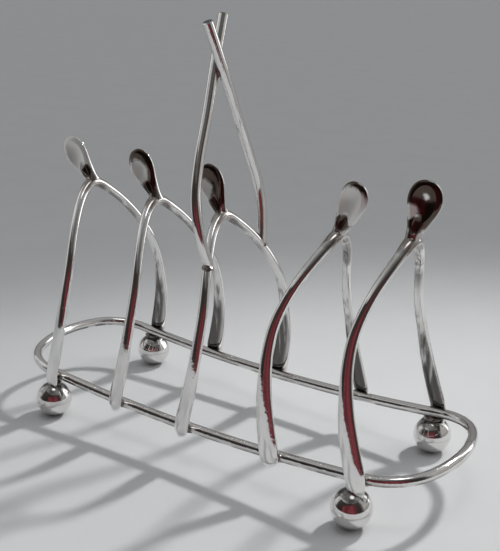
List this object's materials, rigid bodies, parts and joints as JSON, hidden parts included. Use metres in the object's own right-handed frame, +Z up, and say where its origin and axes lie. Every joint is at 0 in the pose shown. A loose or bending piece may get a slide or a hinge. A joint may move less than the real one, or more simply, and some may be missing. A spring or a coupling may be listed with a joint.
{
  "type": "toast rack",
  "caption": "Open rack of silver wishbone-shaped arches on an oval wire base with ball feet and a crossed-rod carrying handle, for standing slices of toast in.",
  "frame": {"origin": "on the table under the middle of the base ring", "axes": "+X along the rack, across the toast slots' thickness; +Y from the front legs to the rear legs; +Z up"},
  "size_m": [0.152, 0.0608, 0.1273],
  "materials": {
    "ring_wire": "polished silver plate with fine scratches",
    "wishbone_casting": "polished silver plate, cast, slightly worn",
    "ball_shell": "polished silver plate, tarnished round the joints",
    "handle_rod": "polished silver plate, square-cut ends"
  },
  "bodies": {
    "root": {"base_ring": "ring_wire", "wishbone_1": "wishbone_casting", "wishbone_2": "wishbone_casting", "wishbone_3": "wishbone_casting", "wishbone_4": "wishbone_casting", "wishbone_5": "wishbone_casting", "ball_left_front_upper": "ball_shell", "ball_left_front_lower": "ball_shell", "ball_left_rear_upper": "ball_shell", "ball_left_rear_lower": "ball_shell", "ball_right_front_upper": "ball_shell", "ball_right_front_lower": "ball_shell", "ball_right_rear_upper": "ball_shell", "ball_right_rear_lower": "ball_shell", "handle_rod_rear": "handle_rod", "handle_rod_front": "handle_rod"}
  },
  "joints": []
}
